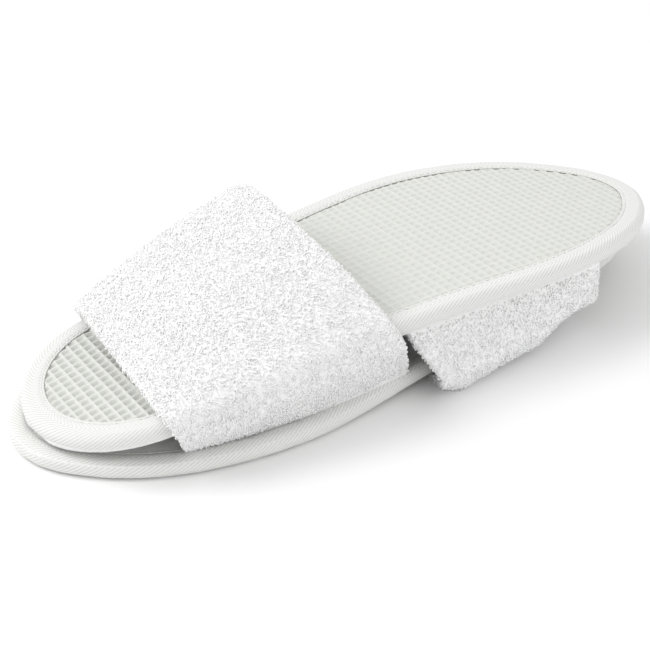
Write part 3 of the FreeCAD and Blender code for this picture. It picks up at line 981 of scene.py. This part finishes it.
@dataclass
class Upper:
    """Open-toe upper: terry with turned edges, foam, lining and the terry's loops."""

    slipper: Slipper
    finishes: Finishes
    yarn: bpy.types.NodeTree
    columns: int = 200
    rows: int = 116
    edge_roll: float = 1.35
    edge_trim: float = 2.0
    hem_turn: float = 7.0
    hem_rows: int = 7
    roll_rows: int = 8
    first_pile_row: int = 8
    lump: float = 0.14
    lump_size: float = 1.7
    cloth: float = 0.8
    backing_inset: float = 0.035
    backing_rows: int = 60
    hem_allowance: float = 20.0
    sunk: float = 2.2
    loop_step: float = 0.92
    row_step: float = 0.95
    loop_reach: float = 0.75
    loop_height: float = 0.62
    loop_radius: float = 0.30
    loop_parts: int = 3
    jitter: float = 0.16
    drift: float = 0.2
    bare_foot: float = 4.0
    wave: float = 0.5
    seed: float = 2.0

    def face(self, share: Array) -> Array:
        """Outer surface at shares of the way from toe edge to throat edge.

        Args:
            share: Places from 0 at the toe edge to 1 at the throat edge.

        Returns:
            Grid of points, one row for each share.
        """
        lines = []
        for arch in self.slipper.arches:
            level = float(self.slipper.flex.level(arch.place, self.slipper.layers.thickness))
            lines.append(arch.place_points(arch.outline(level - self.sunk, self.columns)))
        s = share[:, None, None]
        if len(lines) == 2:
            return lines[0] * (1 - s) + lines[1] * s
        return (lines[0] * 2 * (s - 0.5) * (s - 1) + lines[1] * 4 * s * (1 - s)
                + lines[2] * 2 * s * (s - 0.5))

    def frames(self, points: Array) -> tuple[Array, Array, Array]:
        """Outward normals and lengthwise and crosswise directions of a grid of points."""
        lengthwise = np.gradient(points, axis=0)
        crosswise = np.gradient(points, axis=1)
        out = np.cross(crosswise, lengthwise)
        out, lengthwise, crosswise = (unit(a) for a in (out, lengthwise, crosswise))
        middle = points.mean(axis=(0, 1))
        if ((points - middle) * out).sum() < 0:
            out = -out
        return out, lengthwise, crosswise

    def free(self, grid_rows: int) -> Array:
        """How far each column is from the walls' feet: 0 at the tape and 1 on the free cloth."""
        walk = np.linspace(0, 1, self.columns)
        near = np.minimum(walk, 1 - walk)
        return np.tile(smoothstep(near, 0.02, 0.16), (grid_rows, 1))

    def swell(self, share: Array, points: Array) -> Array:
        """Soft unevenness of the cloth, in mm outwards."""
        free = self.free(len(share))
        lumps = smooth_field(points, 26.0, self.seed) * 1.4 + smooth_field(points, 9.0, self.seed + 5) * 0.5
        return self.wave * free * lumps

    def surface(self, share: Array, depth: float | Array) -> tuple[Array, Array, Array, Array]:
        """Cloth surface at a depth below the outer one, with its directions."""
        points = self.face(share)
        out, lengthwise, crosswise = self.frames(points)
        points = points + out * self.swell(share, points)[..., None]
        out, lengthwise, crosswise = self.frames(points)
        return points - out * np.asarray(depth)[..., None], out, lengthwise, crosswise

    def turned_grid(self) -> Array:
        """Middle line of the terry: outer face, rolled edges and the turned-in hems."""
        whole = self.face(np.linspace(0, 1, self.rows))[:, self.columns // 2]
        length = float(walk_along(whole)[-1])
        trim = self.edge_trim / length
        points, out, lengthwise, _ = self.surface(np.linspace(trim, 1 - trim, self.rows), 0.0)
        hem = np.linspace(trim, trim + self.hem_turn / length, self.hem_rows + 1)[1:]
        turns = np.linspace(0, math.pi, self.roll_rows + 1)[1:]
        parts = [points]
        for end, sign in ((0, -1.0), (-1, 1.0)):
            rim, normal, along = points[end], out[end], lengthwise[end] * sign
            roll = [rim + self.edge_roll * (along * math.sin(t) - normal * (1 - math.cos(t))) for t in turns]
            inside = self.surface(hem if end == 0 else 1 - hem, 0.0)
            turned = inside[0] - inside[1] * 2 * self.edge_roll
            extra = np.concatenate([np.array(roll), turned])
            parts = [extra[::-1], *parts] if end == 0 else [*parts, extra]
        return np.concatenate(parts)

    def build(self) -> Obj:
        """Draws the terry, its loops, the foam and the lining."""
        side = self.slipper.side
        grid = self.turned_grid()
        out, _, crosswise = self.frames(grid)
        first = self.hem_rows + self.roll_rows
        reference = self.surface(np.linspace(0, 1, self.rows), 0.0)[1]
        if (out[first:first + self.rows] * reference).sum() < 0:
            out = -out
        lumps = smooth_field(grid, self.lump_size, self.seed + 11) * self.lump
        outer = keep_clear(self.slipper.pose((grid + out * lumps[..., None]).reshape(-1, 3)), 0.02)
        inner = keep_clear(self.slipper.pose((grid - out * self.cloth).reshape(-1, 3)), 0.4)
        terry = shell_mesh(side.node("terry_cover"), outer.reshape(grid.shape), inner.reshape(grid.shape))
        # the ground gets the greyer terry finish as painted shade between the loops
        self.finishes.dress(terry, "terry", "terry_ground_painted_shade")
        loops = self.loops(grid, out, crosswise)
        foam = self.backing("foam_layer", "foam", 0.90, 1.20)
        lining = self.backing("lining_layer", "lining", 1.25, 1.60)
        side.node("bound_edge_tape")
        for backing in (foam, lining):
            side.node("bound_edge_tape")
        settle(foam, side, "upper_foam")
        settle(lining, side, "upper_lining")
        for piece in loops:
            settle(piece, side)
        return settle(terry, side, "upper_terry", "toe_hem", "throat_hem")

    def backing(self, piece: str, slot: str, high: float, low: float) -> Obj:
        """Draws one thin layer under the terry."""
        share = np.linspace(self.backing_inset, 1 - self.backing_inset, self.backing_rows)
        upper, lower = (self.surface(share, depth)[0][:, ::2] for depth in (high, low))
        outer, inner = (keep_clear(self.slipper.pose(p.reshape(-1, 3)), 0.7 + 0.3 * d).reshape(p.shape)
                        for p, d in ((upper, high), (lower, low)))
        obj = shell_mesh(self.slipper.side.node(piece), outer, inner)
        self.finishes.dress(obj, slot)
        return obj

    def loops(self, grid: Array, out: Array, crosswise: Array) -> list[Obj]:
        """Sets rows of terry loops over the outer face and the rolled edges.

        Args:
            grid: The terry's points, row by row.
            out: Outward normals at them.
            crosswise: Directions along the rows.

        Returns:
            The pieces of pile, from toe to throat.
        """
        random = np.random.default_rng(int(self.seed * 10) + 3)
        walk = walk_along(grid[:, self.columns // 2])
        places, ups, lines, rows = [], [], [], []
        spots = np.arange(walk[self.first_pile_row], walk[-1 - self.first_pile_row], self.row_step)
        for number, s in enumerate(spots):
            row = float(np.interp(s, walk, np.arange(len(walk))))
            low, part = int(row), row - int(row)
            mix = [a[low] * (1 - part) + a[min(low + 1, len(a) - 1)] * part for a in (grid, out, crosswise)]
            across = walk_along(mix[0])
            shift = (number % 2) * 0.5 + 0.33 * number % 1.0
            first = self.bare_foot + shift * self.loop_step
            at = np.arange(first, across[-1] - self.bare_foot, self.loop_step)
            at = at + random.normal(0, self.jitter, len(at))
            for kept, line in zip((places, ups, lines), mix):
                kept.append(read_along(at, across, line))
            rows.append(np.full(len(at), number))
        p, n, c, rows = (np.concatenate(a) for a in (places, ups, lines, rows))
        p = p + random.normal(0, self.drift, p.shape)
        pieces = []
        share = rows * self.loop_parts // len(spots)
        for index in range(self.loop_parts):
            part = share == index
            name = f"{self.slipper.side.node('terry_loops')}_{index + 1}"
            obj = build_mesh(name + "_points", self.slipper.pose(p[part]), [])
            set_attribute(obj, "outward", self.slipper.aim(n[part]))
            set_attribute(obj, "along", self.slipper.aim(c[part]))
            made = run_group(obj, self.yarn, {
                "Reach": self.loop_reach * MM, "Height": self.loop_height * MM,
                "Yarn Radius": self.loop_radius * MM, "Sides": 3, "Steps": 3, "Twist": 1.5,
                "Lean": 0.7, "Size Spread": 0.25, "Seed": 20 + index,
                "Finish": self.finishes.made["terry"]}, name)
            write_points(made, keep_clear(read_points(made), 0.05))
            self.finishes.dress(made, "terry")
            pieces.append(made)
        return pieces


@dataclass
class BunchedUpper(Upper):
    """The upper that wraps the other slipper's heel: it sags, billows and curls up at its toe edge."""

    billow: float = 2.2
    tuck: float = 6.5
    tuck_shares: tuple[float, float] = (0.22, 0.55)
    throat_tuck: float = 3.0
    softness: float = 2.5

    def swell(self, share: Array, points: Array) -> Array:
        """Billows between the tape and the ground, with soft folds."""
        free = self.free(len(share))
        flat = points * np.array([1.0, 1.0, 0.6])
        folds = smooth_field(flat, 19.0, self.seed) * 2.8 + smooth_field(points, 8.0, self.seed + 5) * 0.7
        return free * np.maximum(self.billow + self.wave * folds, -0.2)

    def face(self, share: Array) -> Array:
        """Outer surface with its near lower corner tucked in, most of all towards the toe edge."""
        points = super().face(share)
        slant = np.array([0.0, -0.5, 0.866])
        reach = points @ slant
        toe = 1 - smoothstep(share, *self.tuck_shares)
        throat = smoothstep(share, 0.88, 1.0)
        limit = reach.max(axis=1) - self.tuck * toe - self.throat_tuck * throat
        over = np.clip(reach - limit[:, None] + self.softness, 0, None)
        pull = np.where(over < 2 * self.softness, over ** 2 / (4 * self.softness), over - self.softness)
        return points - pull[..., None] * slant


# ---- studio


@dataclass(frozen=True)
class Studio:
    """Pale floor, soft lights and the camera."""

    aim: tuple[float, float, float] = (-1.815, 11.545, 0.0)
    azimuth: float = -36.97
    elevation: float = 29.95
    roll: float = -1.01
    distance: float = 724.65
    lens: float = 99.48
    dome: float = 0.80
    floor: float = 0.93
    sensor: float = 36.0
    near_clip: float = 0.01

    def camera(self) -> Obj:
        """Adds the camera and makes it the scene's."""
        az, el, roll = (math.radians(a) for a in (self.azimuth, self.elevation, self.roll))
        back = Vector((math.sin(az) * math.cos(el), -math.cos(az) * math.cos(el), math.sin(el)))
        right = Vector((math.cos(az), math.sin(az), 0.0))
        up = back.cross(right)
        turned = right * math.cos(roll) + up * math.sin(roll)
        level = up * math.cos(roll) - right * math.sin(roll)
        data = bpy.data.cameras.new("camera")
        data.lens, data.sensor_width, data.clip_start = self.lens, self.sensor, self.near_clip
        camera = bpy.data.objects.new("camera", data)
        bpy.context.scene.collection.objects.link(camera)
        place = Vector(self.aim) * MM + back * self.distance * MM
        camera.matrix_world = Matrix.Translation(place) @ Matrix((turned, level, back)).transposed().to_4x4()
        bpy.context.scene.camera = camera
        return camera

    def light(self, name: str, place: tuple[float, float, float], size: float, power: float) -> None:
        """Adds one soft area light aimed at the slippers."""
        data = bpy.data.lights.new(name, "AREA")
        data.size, data.energy = size, power
        lamp = bpy.data.objects.new(name, data)
        bpy.context.scene.collection.objects.link(lamp)
        lamp.location = place
        lamp.rotation_euler = (Vector((0, 0, 0.03)) - Vector(place)).to_track_quat("-Z", "Y").to_euler()

    def build(self) -> None:
        """Sets up the floor, the lights and the camera."""
        floor = build_mesh("floor", np.array([(-4, -4, 0), (4, -4, 0), (4, 4, 0), (-4, 4, 0)], float),
                           [(0, 1, 2, 3)])
        paint = bpy.data.materials.new("floor_paint")
        paint.use_nodes = True
        shader = paint.node_tree.nodes["Principled BSDF"].inputs
        shader["Base Color"].default_value = (self.floor, self.floor, self.floor, 1.0)
        shader["Roughness"].default_value = 0.9
        shader["Specular IOR Level"].default_value = 0.1
        floor.data.materials.append(paint)
        world = bpy.data.worlds.new("studio")
        world.use_nodes = True
        background = world.node_tree.nodes["Background"].inputs
        background["Color"].default_value = (1.0, 1.0, 1.0, 1.0)
        background["Strength"].default_value = self.dome
        bpy.context.scene.world = world
        bpy.context.scene.view_settings.view_transform = "Standard"
        self.light("key", (-0.85, 0.75, 1.15), 1.1, 14.0)
        self.light("front", (0.5, -1.2, 0.55), 1.0, 2.6)
        self.camera()


@dataclass
class SlipperModel:
    """All the visible pieces of one slipper."""

    slipper: Slipper
    finishes: Finishes
    waffle: bpy.types.NodeTree
    yarn: bpy.types.NodeTree

    def build(self) -> None:
        """Builds the sole, the tape and the upper, and paints what stays as the solid."""
        Outsole(self.slipper, self.finishes, self.waffle).build()
        Insole(self.slipper, self.finishes).build()
        Binding(self.slipper, self.finishes, self.yarn).build()
        if self.slipper.turned_over:
            BunchedUpper(self.slipper, self.finishes, self.yarn, seed=31.0, wave=0.9).build()
        else:
            Upper(self.slipper, self.finishes, self.yarn).build()
        log.info("%s slipper done", self.slipper.side.value)


def main() -> None:
    """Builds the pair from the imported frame."""
    logging.basicConfig(level=logging.INFO, format="%(message)s")
    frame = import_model()
    finishes = Finishes()
    finishes.build()
    waffle, yarn = waffle_group(), yarn_group()
    for slipper in (LOWER, UPPER):
        SlipperModel(slipper, finishes, waffle, yarn).build()
        midsole = frame["nodes"][slipper.side.node("midsole")]
        midsole.data.materials.clear()
        midsole.data.materials.append(finishes.made["midsole_board"])
    Studio().build()


if __name__ == "__main__":
    main()
